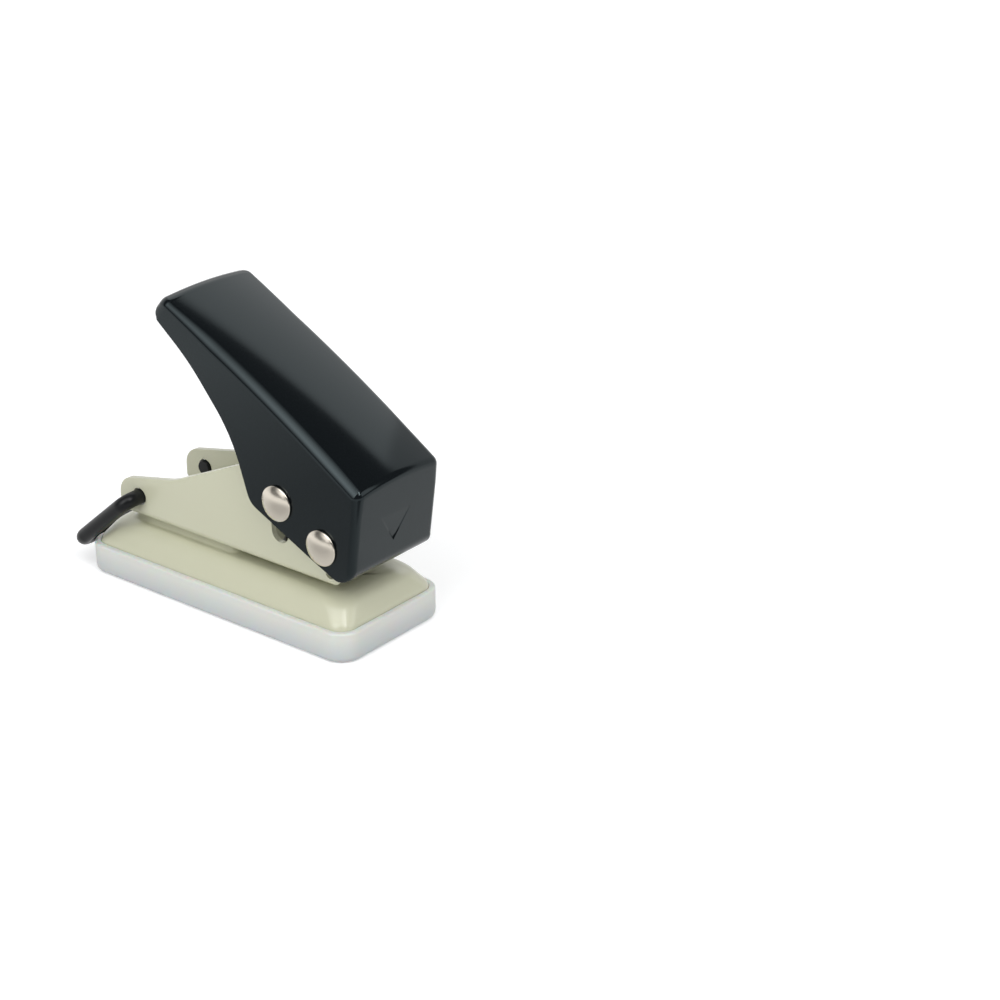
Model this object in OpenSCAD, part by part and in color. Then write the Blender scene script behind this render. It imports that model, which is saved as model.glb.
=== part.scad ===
// Single hole punch with a locking bail, millimetres.
// X points to the front where the hole is cut, Y across, Z up.
// The origin is the middle of the tray's underside, on the desk.
// The lever is drawn open, as it rests, with the bail folded down behind.

/* [Chip tray] */
// Length of the tray
tray_len = 90; // [80:1:110]
// Width of the tray
tray_wid = 38; // [36:0.5:50]
// Height of the tray's rim above the desk
tray_h = 8.2; // [7:0.1:11]
// Corner radius of the tray in plan
tray_corner = 6; // [4:0.5:9]
// Thickness of the tray's wall
tray_wall = 1.6; // [1.2:0.1:2]
// Thickness of the tray's floor
tray_floor = 1.4; // [1:0.1:2]
// Height of the ledge that carries the base
ledge_h = 4; // [3:0.1:5]
// Width of that ledge
ledge_w = 1.5; // [1.2:0.1:2.5]
// Bevel along the tray's bottom edge
tray_bevel = 1.2; // [0.4:0.1:1.2]

/* [Base] */
// Height of the base's top face above the tray's rim
base_rise = 6.2; // [5.5:0.1:8]
// Sheet thickness of the base
base_sheet = 1.2; // [0.8:0.1:1.6]
// How far the sloping sides lean in
base_lean = 2.2; // [1:0.1:3.5]
// Rounding of the base's top edge
base_edge = 2.4; // [1:0.1:3]
// Thickness of the plate that sets the paper gap
stop_plate_t = 2.2; // [1.5:0.1:3]
// How far that plate's sides stand in from the frame's
stop_plate_inset = 2; // [0.3:0.1:2.2]
// Distance from the hole's centre to the paper's edge
edge_distance = 18.5; // [12:0.5:22]

/* [Frame] */
// Outer width of the folded frame
frame_wid = 25.2; // [24:0.1:25.4]
// Sheet thickness of the frame
frame_sheet = 1.5; // [1:0.1:2]
// Outer bend radius of the frame
frame_bend = 2.2; // [1.8:0.1:4]
// Metal of the frame's ears behind the bail's hole
ear_back = 7; // [6:0.1:7.5]
// Foot of the frame before the lever's pivot
frame_foot = 4.5; // [3.5:0.1:6]
// Metal of the cheeks above the drive slot
slot_margin = 5; // [3.5:0.1:5.5]
// Diameter of the small hole low at the front of the frame
relief_d = 2.8; // [2:0.1:4]

/* [Lever] */
// Lever pivot behind the tray's front end
pivot_inset = 9.7; // [9:0.1:12]
// Lever pivot above the frame's underside
pivot_rise = 11.5; // [11:0.1:13]
// Turn of the lever from open to fully pressed, degrees
lever_turn = 34; // [28:0.5:36]
// Gap between a cheek and the lever's wall
side_gap = 0.9; // [0.7:0.1:1.5]
// Wall thickness of the lever
lever_wall = 1.6; // [1.2:0.1:1.8]
// Tail of the lever beyond the bail's pivot
tail_over = 6.4; // [3:0.1:6.8]
// Reach of the lever's front face before its pivot
lever_nose = 9.9; // [9.6:0.1:12]
// Height of the lever's back above its pivot when pressed
lever_back = 21.3; // [20:0.1:21.5]
// Lengthwise radius of the lever's back
lever_crown = 420; // [250:5:600]
// Crosswise radius of the lever's back
cross_crown = 85; // [50:1:300]
// Depth of the handle's sides at the tail
tail_depth = 6.8; // [6:0.1:9]
// Rounding of the lever's upper side edges
lever_edge = 2.2; // [1.8:0.1:2.6]
// Rounding of the tail's corners in plan
tail_corner = 3; // [1:0.1:3.4]
// Depth of the lever's sides below the pivot
foot_pivot = 5.4; // [4:0.1:6]
// Depth of the lever's sides below the drive pin
foot_drive = 7.2; // [5.5:0.1:7.6]
// Lean of the front face when the lever is pressed, degrees
front_lean = 26.5; // [20:0.5:32]

/* [Pins] */
// Diameter of both pins
pin_d = 5; // [4:0.1:5.6]
// Diameter of the pin heads and caps
head_d = 9.2; // [8:0.1:12]
// Height of a head's straight rim
head_rim = 1; // [0.6:0.1:1.4]
// Rise of the head's dome above its rim
head_dome = 0.7; // [0.3:0.1:1]
// Drive pin behind the pivot when the lever is pressed
drive_back = 16; // [14:0.1:17]
// Drive pin below the pivot when the lever is pressed
drive_drop = 1.5; // [0.5:0.1:2.5]

/* [Cutter] */
// Diameter of the hole that is punched
hole_d = 6; // [5:0.1:7]
// Height of the cutter's tip above the frame's underside at rest
tip_rise = 0.6; // [0.3:0.1:1.5]
// Thickness of the die plate
die_t = 2.5; // [1.5:0.1:3]
// Diameter of the yoke that carries the cutter
yoke_d = 13; // [12:0.1:15]
// Diameter of the spring wire
spring_wire = 0.9; // [0.6:0.05:1.1]
// Turns of the conical spring
spring_turns = 4; // [3:0.5:6]

/* [Bail] */
// Diameter of the bail's wire
wire_d = 4; // [3:0.1:4.4]
// Bail pivot before the tray's rear end
bail_inset = 14.9; // [14:0.1:16]
// Bail pivot above the frame's underside
bail_rise = 5.9; // [5:0.1:7]
// Bend radius of the wire beside the bar
bail_bend = 4; // [2.5:0.1:4.6]
// Bend radius of the wire at the ears
ear_bend = 2.6; // [2.5:0.1:4.6]

/* [Hidden] */
$fn = 64;
eps = 0.01;

// Clearances: a snap-in shell, a turning pin, a fixed pin, a loose slot, passing bodies, end play
fit_snap = 0.2;
fit_run = 0.06;
fit_press = 0.03;
fit_slot = 0.3;
fit_pass = 0.4;
fit_end = 0.1;

// Base, set inside the tray's rim
rim_len = tray_len - 2 * (tray_wall + fit_snap);
rim_wid = tray_wid - 2 * (tray_wall + fit_snap);
rim_corner = tray_corner - tray_wall - fit_snap;
base_top_z = tray_h + base_rise;
base_under_z = base_top_z - base_sheet;

// Frame, standing on the stop plate
frame_z = base_top_z + stop_plate_t;
web_z = frame_z + frame_sheet;
cheek_out = frame_wid / 2;
cheek_in = cheek_out - frame_sheet;
through = frame_wid + 2;
pivot_x = tray_len / 2 - pivot_inset;
pivot_z = frame_z + pivot_rise;
bail_x = bail_inset - tray_len / 2;
bail_z = frame_z + bail_rise;
frame_rear_x = bail_x - ear_back;
frame_front_x = pivot_x + frame_foot;
ear_rise = 3.6;
saddle_dx = 12.6;
saddle_rise = 7.8;
peak_rear_dx = 7.2;
peak_front_dx = 2.8;
brow_dx = 6.9;
brow_rise = 6.4;

// Drive pin, seen in the pressed lever's own frame and then with the lever open
pin_r = pin_d / 2;
drive_r = norm([drive_back, drive_drop]);
drive_open_x = pivot_x - drive_back * cos(lever_turn) - drive_drop * sin(lever_turn);
drive_open_z = pivot_z + drive_back * sin(lever_turn) - drive_drop * cos(lever_turn);
drive_far_x = pivot_x - drive_r;
cutter_travel = drive_open_z - (pivot_z - drive_drop);
cutter_x = (drive_open_x + drive_far_x) / 2;
drive_play = (drive_open_x - drive_far_x) / 2;
frame_top_z = drive_open_z + pin_r + fit_slot + slot_margin;

// Lever walls in the pressed lever's own frame, about the pivot
lever_wid = frame_wid + 2 * (side_gap + lever_wall);
lever_out = lever_wid / 2;
lever_in = lever_out - lever_wall;
lever_reach = pivot_x - bail_x + tail_over;
crown_mid_x = -5;
front_edge = 1.6;
nose_r = tail_depth / 2;
nose_rise = 0.3;
front_foot = 2.3 - foot_pivot;
front_foot_r = 4.3;
tail_arch_dx = 16;
tail_arch_drop = 1.4;
arch_dx = 20;
arch_z = 2;
heel_dx = 6.3;
heel_r = 5;

// Pins, caps, spacer and washers
washer_t = side_gap - 2 * fit_end;
washer_r = head_d / 2 - 0.4;
spacer_r = pin_r + 1.3;
head_seat = lever_out + fit_end;
cap_bore = head_rim - 0.2;

// Height of the lever's back above the pivot, at x
function back_at(x) = lever_back - lever_crown + sqrt(pow(lever_crown, 2) - pow(x - crown_mid_x, 2));

// Cutter and yoke, at rest
tip_z = frame_z + tip_rise;
slot_h = pin_d + 2 * fit_slot;
yoke_wall = 1.5;
yoke_z = drive_open_z - slot_h / 2 - yoke_wall;
yoke_top = drive_open_z + slot_h / 2 + yoke_wall;
boss_h = 1.6;
boss_d = hole_d + 3;
spring_washer_t = 0.8;
bush_d = hole_d + 3;
bush_top = yoke_z - boss_h - cutter_travel - fit_slot;

// Spring, from the frame's web to the washer, wide enough at its foot for its turns to nest
spring_seat = spring_wire / 2 + fit_run;
spring_top_r = boss_d / 2 + spring_wire / 2 + fit_slot;
spring_foot_r = spring_top_r + spring_turns * spring_wire;
spring_foot_z = web_z + spring_seat;
spring_top_z = yoke_z - spring_washer_t - spring_seat;

// Stop plate and rivets
stop_front_x = cutter_x - edge_distance;
stop_wid = frame_wid - 2 * stop_plate_inset;
stop_corner = 3;
rivet_r = 1.6;
rivet_head_r = 3;
rivet_head_h = 1.2;
rear_rivet_dx = 3.1;
front_rivet_dx = 11;
frame_rivet_x = [bail_x + rear_rivet_dx, stop_front_x - front_rivet_dx];
frame_rivet_y = 5.5;
die_len = 32;
die_wid = 16;
die_corner = 2;
die_rivet_dx = 11;

// Bail: its arms pass outside the lever, its bar lies on the pressed lever's tail,
// and at rest its arms lie on the round rear corners of the tray's rim
wire_r = wire_d / 2;
bail_half = lever_out + fit_pass + wire_r;
bail_arm = pivot_z + back_at(bail_x - pivot_x) - bail_z + wire_r + fit_pass;
stub_inside = 0.8;
stub_end = cheek_in - stub_inside;
rest_y = min(max(bail_half - wire_r / 2 - tray_wid / 2 + tray_corner, 0), tray_corner);
rest_x = tray_corner - sqrt(pow(tray_corner, 2) - pow(rest_y, 2)) - tray_len / 2;
rest_dx = bail_x - rest_x;
rest_dz = bail_z - tray_h;
bail_droop = atan2(rest_dz, rest_dx) - asin(wire_r / norm([rest_dx, rest_dz]));

// Corner of an outline rounded to an arc of radius r, in steps short chords
function unit(v) = v / norm(v);
function corner(a, b, c, r, steps = 6) =
    let (
        u = unit(a - b),
        w = unit(c - b),
        half = acos(u * w) / 2,
        mid = b + unit(u + w) * r / sin(half),
        p = b + u * r / tan(half) - mid,
        q = b + w * r / tan(half) - mid,
        start = atan2(p.y, p.x),
        sweep = (atan2(q.y, q.x) - start + 540) % 360 - 180
    )
    r == 0 ? [b] : [for (i = [0:steps]) let (t = start + sweep * i / steps) mid + r * [cos(t), sin(t)]];

// Closed outline from points [x, z, corner radius]
function rounded(pts) =
    let (n = len(pts), p = [for (q = pts) [q.x, q.y]])
    [for (i = [0:n - 1]) each corner(p[(i + n - 1) % n], p[i], p[(i + 1) % n], pts[i].z)];

// Rectangle in plan with round corners
module plan(l, w, r) {
    square([l - 2 * r, w], center = true);
    square([l, w - 2 * r], center = true);
    for (sx = [-1, 1], sy = [-1, 1])
        translate([sx * (l / 2 - r), sy * (w / 2 - r)]) circle(r);
}

// That rectangle as a slab from height z
module slab(l, w, r, z, h) {
    translate([0, 0, z]) linear_extrude(h) plan(l, w, r);
}

// Side outline in X and Z, drawn through the part's whole width
module across(width) {
    rotate([90, 0, 0]) linear_extrude(width, center = true) children();
}

// Round bar along Y from y0 to y1
module bar(x, z, r, y0, y1) {
    translate([x, y0, z]) rotate([-90, 0, 0]) cylinder(r = r, h = y1 - y0);
}

// Domed head of a pin, with its flat side at y and its dome towards side
module pin_head(x, z, y, side) {
    dome_r = (pow(head_d / 2, 2) + pow(head_dome, 2)) / (2 * head_dome);
    translate([x, side * y, z]) rotate([side > 0 ? -90 : 90, 0, 0]) {
        cylinder(d = head_d, h = head_rim);
        rotate_extrude()
            intersection() {
                translate([0, head_rim + head_dome - dome_r]) circle(dome_r, $fn = 256);
                translate([0, head_rim - eps]) square([head_d / 2, head_dome + 1]);
            }
    }
}

// Turns what is drawn about the pivot of the pressed lever to the open lever's place
module open_lever() {
    translate([pivot_x, 0, pivot_z]) rotate([0, lever_turn, 0]) children();
}

module chip_tray() {
    color("#dfe3e6") difference() {
        union() {
            hull() {
                slab(tray_len - 2 * tray_bevel, tray_wid - 2 * tray_bevel, tray_corner - tray_bevel, 0, eps);
                slab(tray_len, tray_wid, tray_corner, tray_bevel, eps);
            }
            slab(tray_len, tray_wid, tray_corner, tray_bevel, tray_h - tray_bevel);
        }
        slab(tray_len - 2 * tray_wall, tray_wid - 2 * tray_wall, tray_corner - tray_wall, ledge_h, tray_h);
        slab(
            tray_len - 2 * (tray_wall + ledge_w), tray_wid - 2 * (tray_wall + ledge_w),
            tray_corner - tray_wall - ledge_w, tray_floor, tray_h
        );
    }
}

// The base's solid form, drawn in by inset on every face but its foot
module base_form(inset) {
    l = rim_len - 2 * inset;
    w = rim_wid - 2 * inset;
    r = rim_corner - inset;
    top = base_top_z - inset;
    shoulder = top - base_edge;
    slab(l, w, r, ledge_h - (inset > 0 ? 1 : 0), tray_h - ledge_h + 1);
    hull() {
        slab(l, w, r, tray_h - 1, 1, $fn = 32);
        for (i = [0:4])
            let (a = 90 * i / 4, in = base_lean + base_edge * (1 - cos(a)))
                slab(l - 2 * in, w - 2 * in, r, shoulder + base_edge * sin(a) - eps, eps, $fn = 32);
    }
}

module base_shell() {
    color("#c9cab4") difference() {
        base_form(0);
        base_form(base_sheet);
        translate([cutter_x, 0, 0]) cylinder(d = hole_d + 2 * fit_slot, h = base_top_z + 1);
        for (s = [-1, 1])
            translate([cutter_x + s * die_rivet_dx, 0, 0])
                cylinder(r = rivet_r + fit_press, h = base_top_z + 1);
        for (x = frame_rivet_x, s = [-1, 1])
            translate([x, s * frame_rivet_y, 0]) cylinder(r = rivet_r + fit_press, h = base_top_z + 1);
    }
}

module die_plate() {
    color("#8d9196") difference() {
        translate([cutter_x, 0, 0]) slab(die_len, die_wid, die_corner, base_under_z - die_t, die_t);
        translate([cutter_x, 0, 0]) cylinder(d = hole_d + 2 * fit_run, h = base_top_z);
        for (s = [-1, 1])
            translate([cutter_x + s * die_rivet_dx, 0, 0]) cylinder(r = rivet_r + fit_press, h = base_top_z);
    }
}

// Flush above, so that paper slides over them
module die_rivets() {
    foot = base_under_z - die_t;
    color("#b9bcc0") for (s = [-1, 1])
        translate([cutter_x + s * die_rivet_dx, 0, foot]) {
            cylinder(r = rivet_r, h = base_top_z - foot);
            translate([0, 0, -rivet_head_h]) cylinder(r = rivet_head_r, h = rivet_head_h);
        }
}

// Lies between the base and the frame, and stops the paper's edge
module stop_plate() {
    l = stop_front_x - frame_rear_x;
    color("#c9cab4") difference() {
        translate([frame_rear_x + l / 2, 0, 0]) slab(l, stop_wid, stop_corner, base_top_z, stop_plate_t);
        for (x = frame_rivet_x, s = [-1, 1])
            translate([x, s * frame_rivet_y, 0]) cylinder(r = rivet_r + fit_press, h = frame_z + 1);
    }
}

// Side outline of the frame's cheeks
module cheek_outline() {
    polygon(rounded([
        [frame_rear_x, frame_z, 2.5],
        [frame_rear_x, bail_z + ear_rise, 5],
        [bail_x + saddle_dx, bail_z + saddle_rise, 25],
        [drive_far_x - peak_rear_dx, frame_top_z, 6],
        [drive_open_x + peak_front_dx, frame_top_z, 9],
        [pivot_x + brow_dx, pivot_z + brow_rise, 7],
        [frame_front_x, frame_z, 7.5]
    ]));
}

// Cross section of the folded sheet
module fold_section() {
    inner_bend = frame_bend - frame_sheet;
    tall = frame_top_z - frame_z + 2;
    difference() {
        union() {
            translate([-cheek_out, frame_bend]) square([frame_wid, tall]);
            translate([-cheek_out + frame_bend, 0]) square([frame_wid - 2 * frame_bend, tall]);
            for (s = [-1, 1]) translate([s * (cheek_out - frame_bend), frame_bend]) circle(frame_bend);
        }
        translate([-cheek_in, frame_bend]) square([2 * cheek_in, tall + 1]);
        translate([-cheek_in + inner_bend, frame_sheet]) square([2 * (cheek_in - inner_bend), tall]);
        for (s = [-1, 1]) translate([s * (cheek_in - inner_bend), frame_bend]) circle(inner_bend);
    }
}

// Curved slot that the drive pin runs in, whose upper end stops the open lever
module drive_slot() {
    r = pin_r + fit_slot;
    first = 180 - lever_turn + atan2(drive_drop, drive_back);
    translate([pivot_x, 0, pivot_z]) rotate([90, 0, 0]) {
        rotate([0, 0, first]) rotate_extrude(angle = lever_turn)
            translate([drive_r - r, -through / 2]) square([2 * r, through]);
        for (a = [first, first + lever_turn])
            rotate([0, 0, a]) translate([drive_r, 0, -through / 2]) cylinder(r = r, h = through);
    }
}

module frame_bracket() {
    color("#c9cab4") difference() {
        intersection() {
            across(through) cheek_outline();
            translate([frame_rear_x - 1, 0, frame_z]) rotate([90, 0, 90])
                linear_extrude(pivot_x - frame_rear_x + 12) fold_section();
        }
        bar(pivot_x, pivot_z, pin_r + fit_press, -through / 2, through / 2);
        bar(bail_x, bail_z, wire_r + fit_slot, -through / 2, through / 2);
        bar(pivot_x, frame_z + frame_bend + relief_d / 2, relief_d / 2, -through / 2, through / 2);
        drive_slot();
        translate([cutter_x, 0, frame_z - 1]) cylinder(d = bush_d + 2 * fit_press, h = frame_sheet + 2);
        for (x = frame_rivet_x, s = [-1, 1])
            translate([x, s * frame_rivet_y, 0]) cylinder(r = rivet_r + fit_press, h = web_z + 1);
    }
}

module frame_rivets() {
    color("#b9bcc0") for (x = frame_rivet_x, s = [-1, 1])
        translate([x, s * frame_rivet_y, 0]) {
            translate([0, 0, base_under_z]) cylinder(r = rivet_r, h = web_z - base_under_z);
            translate([0, 0, web_z]) cylinder(r1 = rivet_head_r, r2 = rivet_r, h = rivet_head_h);
            translate([0, 0, base_under_z - rivet_head_h])
                cylinder(r1 = rivet_r, r2 = rivet_head_r, h = rivet_head_h);
        }
}

module guide_bush() {
    color("#b08d57") translate([cutter_x, 0, frame_z]) difference() {
        cylinder(d = bush_d, h = bush_top - frame_z);
        translate([0, 0, -1]) cylinder(d = hole_d + 2 * fit_run, h = bush_top - frame_z + 2);
    }
}

// Hardened rod, hollow ground at its tip
module cutter() {
    tip_r = hole_d * 1.4;
    color("#9aa0a6") difference() {
        translate([cutter_x, 0, tip_z]) cylinder(d = hole_d, h = yoke_z + yoke_wall / 2 - tip_z);
        bar(cutter_x, tip_z - tip_r + hole_d / 6, tip_r, -hole_d, hole_d);
    }
}

// Head on the cutter, with a level slot for the drive pin
module cutter_yoke() {
    slot_l = pin_d + 2 * (drive_play + fit_slot);
    color("#a7abb0") difference() {
        translate([cutter_x, 0, 0]) {
            translate([0, 0, yoke_z]) cylinder(d = yoke_d, h = yoke_top - yoke_z);
            translate([0, 0, yoke_z - boss_h]) cylinder(d = boss_d, h = boss_h);
        }
        translate([cutter_x, 0, yoke_z - boss_h - 1])
            cylinder(d = hole_d + 2 * fit_press, h = boss_h + yoke_wall / 2 + 1);
        translate([cutter_x, 0, drive_open_z]) cube([slot_l - slot_h, yoke_d + 1, slot_h], center = true);
        for (s = [-1, 1])
            bar(cutter_x + s * (slot_l - slot_h) / 2, drive_open_z, slot_h / 2, -yoke_d, yoke_d);
    }
}

module spring_washer() {
    color("#b9bcc0") translate([cutter_x, 0, yoke_z - spring_washer_t]) difference() {
        cylinder(d = yoke_d, h = spring_washer_t);
        translate([0, 0, -1]) cylinder(d = boss_d + 2 * fit_press, h = spring_washer_t + 2);
    }
}

// Conical spring: wire centre at t from 0 at its foot to 1 at its top
function spring_point(t) =
    let (a = 360 * spring_turns * t, r = spring_foot_r + (spring_top_r - spring_foot_r) * t)
    [r * cos(a), r * sin(a), spring_foot_z + (spring_top_z - spring_foot_z) * t];

ring_steps = 8 * spring_turns;
ring_sides = 6;
spring_path = [for (i = [0:ring_steps]) spring_point(i / ring_steps)];
spring_gap = min([
    for (i = [0:ring_steps - 6], j = [i + 6:ring_steps]) norm(spring_path[i] - spring_path[j])
]) - spring_wire;

// Solid through a row of rings, each with as many points and taken clockwise along the row
module skin(rings) {
    n = len(rings[0]);
    last = n * (len(rings) - 1);
    sides = [
        for (i = [0:len(rings) - 2], k = [0:n - 1])
            let (a = i * n + k, b = i * n + (k + 1) % n)
            each [[a, b, b + n], [a, b + n, a + n]]
    ];
    ends = [for (k = [1:n - 2]) each [[0, k + 1, k], [last, last + k, last + k + 1]]];
    polyhedron([for (ring = rings) each ring], concat(sides, ends));
}

module return_spring() {
    echo(least_gap_between_spring_turns = spring_gap);
    color("#c3c6ca") translate([cutter_x, 0, 0]) skin([
        for (p = spring_path)
            let (out = unit([p.x, p.y, 0]))
            [
                for (k = [0:ring_sides - 1])
                    let (a = 360 * k / ring_sides)
                    p + spring_wire / 2 * (out * cos(a) + [0, 0, sin(a)])
            ]
    ]);
}

// Where the leaning front face stands at height z, set back by inset
function front_at(z, inset) = (lever_nose - inset) / cos(front_lean) - z * tan(front_lean);

// Lever outline as if pressed, about its pivot, drawn up beyond the curved back
module lever_outline() {
    rise = lever_back + 6;
    tail_foot = back_at(-lever_reach) - tail_depth;
    polygon(rounded([
        [front_at(front_foot, 0), front_foot, front_foot_r],
        [front_at(rise, 0), rise, 0],
        [-lever_reach, rise, 0],
        [-lever_reach, tail_foot, 3],
        [tail_arch_dx - lever_reach, tail_foot - tail_arch_drop, 14],
        [-drive_back - arch_dx, arch_z, 30],
        [-drive_back - heel_dx, -drive_drop - foot_drive, heel_r],
        [0, -foot_pivot, 0]
    ]));
}

// Outline of the hollow inside the lever, open below
module hollow_outline() {
    rise = lever_back + 6;
    open = -lever_back - 20;
    polygon([
        [front_at(open, lever_wall), open],
        [front_at(rise, lever_wall), rise],
        [lever_wall - lever_reach, rise],
        [lever_wall - lever_reach, open]
    ]);
}

// Half of the back's crowned, round-edged section at x, from its foot to its middle
function half_section(x, inset, edge) =
    let (
        cross = cross_crown - inset,
        mid_z = back_at(x) - cross_crown,
        half = lever_out - inset,
        edge_y = half - edge,
        edge_z = mid_z + sqrt(pow(cross - edge, 2) - pow(edge_y, 2)),
        tilt = atan2(edge_z - mid_z, edge_y),
        edge_steps = 5,
        crown_steps = 4
    )
    concat(
        [[x, half, -lever_reach]],
        [
            for (i = [0:edge_steps])
                let (a = tilt * i / edge_steps)
                [x, edge_y + edge * cos(a), edge_z + edge * sin(a)]
        ],
        [
            for (i = [1:crown_steps])
                let (a = tilt + (90 - tilt) * i / crown_steps)
                [x, cross * cos(a), mid_z + cross * sin(a)]
        ]
    );

// Bar under the lever's curved back, drawn in by inset
module lever_back_form(inset, edge) {
    front = lever_nose + 10;
    steps = 18;
    long = front + lever_reach + 2;
    skin([
        for (i = [0:steps])
            let (
                near = half_section(front - long * i / steps, inset, edge),
                far = [for (k = [len(near) - 2:-1:0]) [near[k].x, -near[k].y, near[k].z]]
            )
            concat(near, far)
    ]);
}

// What rounds the two upright edges of the leaning front face
module front_edge_cut() {
    long = lever_reach + lever_back;
    edge = [lever_nose, lever_out];
    arc = corner(edge - [0, lever_out], edge, edge - [lever_nose, 0], front_edge);
    rotate([0, -front_lean, 0]) linear_extrude(2 * long, center = true)
        for (s = [0, 1]) mirror([0, s])
            polygon(concat([edge + [1, 1], edge + [1, -front_edge]], arc, [edge + [-front_edge, 1]]));
}

// What rounds the tail's two corners in plan
module tail_corner_cut() {
    edge = [-lever_reach, lever_out];
    arc = corner(edge - [0, lever_out], edge, edge + [lever_reach, 0], tail_corner);
    linear_extrude(lever_back + 6)
        for (s = [0, 1]) mirror([0, s])
            polygon(concat([edge + [-1, 1], edge + [-1, -tail_corner]], arc, [edge + [tail_corner, 1]]));
}

// What rounds the tail's end, from a little above the back round to its underside
module tail_nose_cut() {
    x = nose_r - lever_reach;
    far = 4 * nose_r;
    translate([x, back_at(x) - nose_r + nose_rise]) difference() {
        translate([-far, 0]) square(far);
        circle(nose_r);
    }
}

// Shallow arrow in the front face that marks the hole's centre line
module pointer_cut() {
    wide = 10.6;
    tall = 7.4;
    deep = 0.6;
    rise = 4.6;
    rotate([0, 90 - front_lean, 0]) translate([-rise, 0, lever_nose - deep])
        linear_extrude(deep + 1) polygon([[-tall / 2, -wide / 2], [-tall / 2, wide / 2], [tall / 2, 0]]);
}

module lever_shell() {
    color("#17191d") open_lever() difference() {
        intersection() {
            across(lever_wid + 1) difference() {
                lever_outline();
                tail_nose_cut();
            }
            lever_back_form(0, lever_edge);
        }
        front_edge_cut();
        tail_corner_cut();
        intersection() {
            across(lever_wid) hollow_outline();
            lever_back_form(lever_wall, lever_edge - lever_wall);
        }
        bar(0, 0, pin_r + fit_run, -lever_wid, lever_wid);
        bar(-drive_back, -drive_drop, pin_r + fit_press, -lever_wid, lever_wid);
        pointer_cut();
    }
}

// Headed pin on the near side, with its plain end pressed into a cap on the far side
module headed_pin(x, z) {
    bar(x, z, pin_r, -head_seat - eps, head_seat + cap_bore);
    pin_head(x, z, head_seat, -1);
}

module far_cap(x, z) {
    difference() {
        pin_head(x, z, head_seat, 1);
        bar(x, z, pin_r + fit_press, 0, head_seat + cap_bore + fit_press);
    }
}

module pivot_pin() {
    color("#cfccc4") headed_pin(pivot_x, pivot_z);
}

module pivot_cap() {
    color("#cfccc4") far_cap(pivot_x, pivot_z);
}

module pivot_spacer() {
    color("#b9bcc0") difference() {
        bar(pivot_x, pivot_z, spacer_r, -cheek_in + fit_press, cheek_in - fit_press);
        bar(pivot_x, pivot_z, pin_r + fit_press, -cheek_in - 1, cheek_in + 1);
    }
}

module pivot_washers() {
    y0 = cheek_out + fit_end;
    color("#e6e4dc") for (s = [-1, 1]) difference() {
        bar(pivot_x, pivot_z, washer_r, s > 0 ? y0 : -y0 - washer_t, s > 0 ? y0 + washer_t : -y0);
        bar(pivot_x, pivot_z, pin_r + fit_press, -lever_wid, lever_wid);
    }
}

module drive_pin() {
    color("#cfccc4") headed_pin(drive_open_x, drive_open_z);
}

module drive_cap() {
    color("#cfccc4") far_cap(drive_open_x, drive_open_z);
}

module lock_bail() {
    ear_y = bail_half - ear_bend;
    bar_y = bail_half - bail_bend;
    color("#17191d") translate([bail_x, 0, bail_z]) rotate([0, -bail_droop, 0]) {
        for (s = [0, 1]) mirror([0, s, 0]) {
            translate([0, stub_end, 0]) rotate([-90, 0, 0]) cylinder(r = wire_r, h = ear_y - stub_end);
            translate([-ear_bend, ear_y, 0]) rotate_extrude(angle = 90) translate([ear_bend, 0]) circle(wire_r);
            translate([-ear_bend, bail_half, 0]) rotate([0, -90, 0])
                cylinder(r = wire_r, h = bail_arm - ear_bend - bail_bend);
            translate([bail_bend - bail_arm, bar_y, 0]) rotate([0, 0, 90])
                rotate_extrude(angle = 90) translate([bail_bend, 0]) circle(wire_r);
        }
        translate([-bail_arm, -bar_y, 0]) rotate([-90, 0, 0]) cylinder(r = wire_r, h = 2 * bar_y);
    }
}

chip_tray();
base_shell();
die_plate();
die_rivets();
stop_plate();
frame_bracket();
frame_rivets();
guide_bush();
cutter();
cutter_yoke();
spring_washer();
return_spring();
lever_shell();
pivot_pin();
pivot_cap();
pivot_spacer();
pivot_washers();
drive_pin();
drive_cap();
lock_bail();
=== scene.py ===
"""Looks of a single hole punch: lever open, bail folded down behind, standing on a pale floor."""

import math
from contextlib import contextmanager

import bmesh
import bpy
from mathutils import Matrix, Vector


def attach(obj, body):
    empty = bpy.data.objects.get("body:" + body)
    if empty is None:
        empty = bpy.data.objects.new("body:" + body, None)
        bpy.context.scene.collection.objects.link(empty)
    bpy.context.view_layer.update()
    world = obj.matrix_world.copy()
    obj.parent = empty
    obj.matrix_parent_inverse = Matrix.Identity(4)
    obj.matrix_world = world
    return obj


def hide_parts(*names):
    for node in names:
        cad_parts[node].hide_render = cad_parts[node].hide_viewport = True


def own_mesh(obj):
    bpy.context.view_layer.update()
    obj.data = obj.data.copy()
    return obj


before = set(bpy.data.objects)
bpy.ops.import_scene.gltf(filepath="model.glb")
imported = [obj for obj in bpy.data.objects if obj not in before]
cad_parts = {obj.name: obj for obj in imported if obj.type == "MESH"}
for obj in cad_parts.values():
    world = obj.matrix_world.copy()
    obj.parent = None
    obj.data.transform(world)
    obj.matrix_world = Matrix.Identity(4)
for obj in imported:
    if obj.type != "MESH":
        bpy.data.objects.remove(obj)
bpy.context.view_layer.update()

MM = 0.001

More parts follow.
